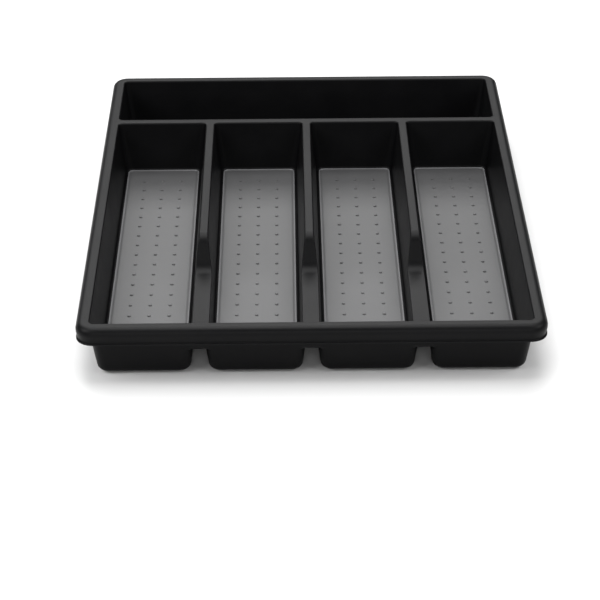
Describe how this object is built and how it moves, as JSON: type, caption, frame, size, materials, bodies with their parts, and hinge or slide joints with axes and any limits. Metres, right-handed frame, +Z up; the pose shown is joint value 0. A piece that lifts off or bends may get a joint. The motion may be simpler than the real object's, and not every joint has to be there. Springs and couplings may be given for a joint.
{
  "type": "cutlery tray",
  "caption": "Cutlery tray for a kitchen drawer: a moulded shell of long tubs side by side with one across the back, soft grip mats on the tub floors and non-slip feet.",
  "frame": {"origin": "on the drawer floor under the middle of the tray", "axes": "+X to the right, +Y from the front of the tray to its rear compartment, +Z up"},
  "size_m": [0.326, 0.4, 0.045],
  "materials": {
    "shell": "black moulded polypropylene with a satin sheen",
    "grip": "mid grey soft thermoplastic elastomer, matt",
    "foot": "dark soft elastomer, matt"
  },
  "bodies": {
    "root": {"tray_shell": "shell", "grip_mat_1": "grip", "grip_mat_2": "grip", "grip_mat_3": "grip", "grip_mat_4": "grip", "grip_mat_rear": "grip", "foot_front_1": "foot", "foot_front_2": "foot", "foot_front_3": "foot", "foot_front_4": "foot", "foot_rear_1": "foot", "foot_rear_2": "foot", "foot_rear_3": "foot", "foot_rear_4": "foot"}
  },
  "joints": []
}
